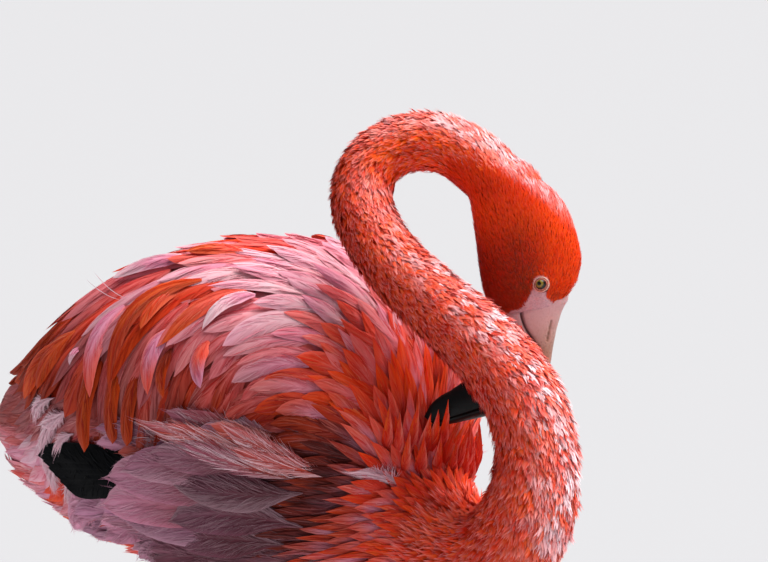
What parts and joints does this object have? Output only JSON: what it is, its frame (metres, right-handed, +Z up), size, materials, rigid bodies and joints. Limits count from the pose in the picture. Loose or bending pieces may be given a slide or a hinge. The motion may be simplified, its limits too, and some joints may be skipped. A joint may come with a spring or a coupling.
{
  "type": "flamingo, a still life-size model",
  "caption": "Life-size American flamingo in coral and pink plumage, standing on both webbed feet with its neck looped down to preen its breast.",
  "frame": {"origin": "on the floor, under the middle of the whole bird's box", "axes": "+Z up; the body faces -Y and its tail points to +Y; the bird's right side is -X"},
  "size_m": [0.228, 0.5632, 0.8861],
  "materials": {
    "plumage": "matte, of overlapping feathers in coral, orange and pale pink",
    "black_feathers": "satin black vanes",
    "bill": "smooth horn, cream pink with a black outer half",
    "eye": "clear and wet, olive yellow with a black pupil",
    "leg_skin": "scaled skin, dusty pink with darker joints",
    "claw": "dark horn"
  },
  "bodies": {
    "root": {"trunk": "plumage", "tail": "plumage", "neck_base": "plumage", "neck_lower": "plumage", "neck_middle": "plumage", "neck_upper": "plumage", "head": "plumage", "wing_right": "plumage", "wing_left": "plumage", "thigh_right": "plumage", "thigh_left": "plumage", "flight_feathers_right": "black_feathers", "flight_feathers_left": "black_feathers", "bill_upper": "bill", "bill_lower": "bill", "eye_right": "eye", "eye_left": "eye", "shank_right": "leg_skin", "tarsus_right": "leg_skin", "foot_right": "leg_skin", "shank_left": "leg_skin", "tarsus_left": "leg_skin", "foot_left": "leg_skin", "claw_right_inner": "claw", "claw_right_middle": "claw", "claw_right_outer": "claw", "claw_left_inner": "claw", "claw_left_middle": "claw", "claw_left_outer": "claw"}
  },
  "joints": []
}
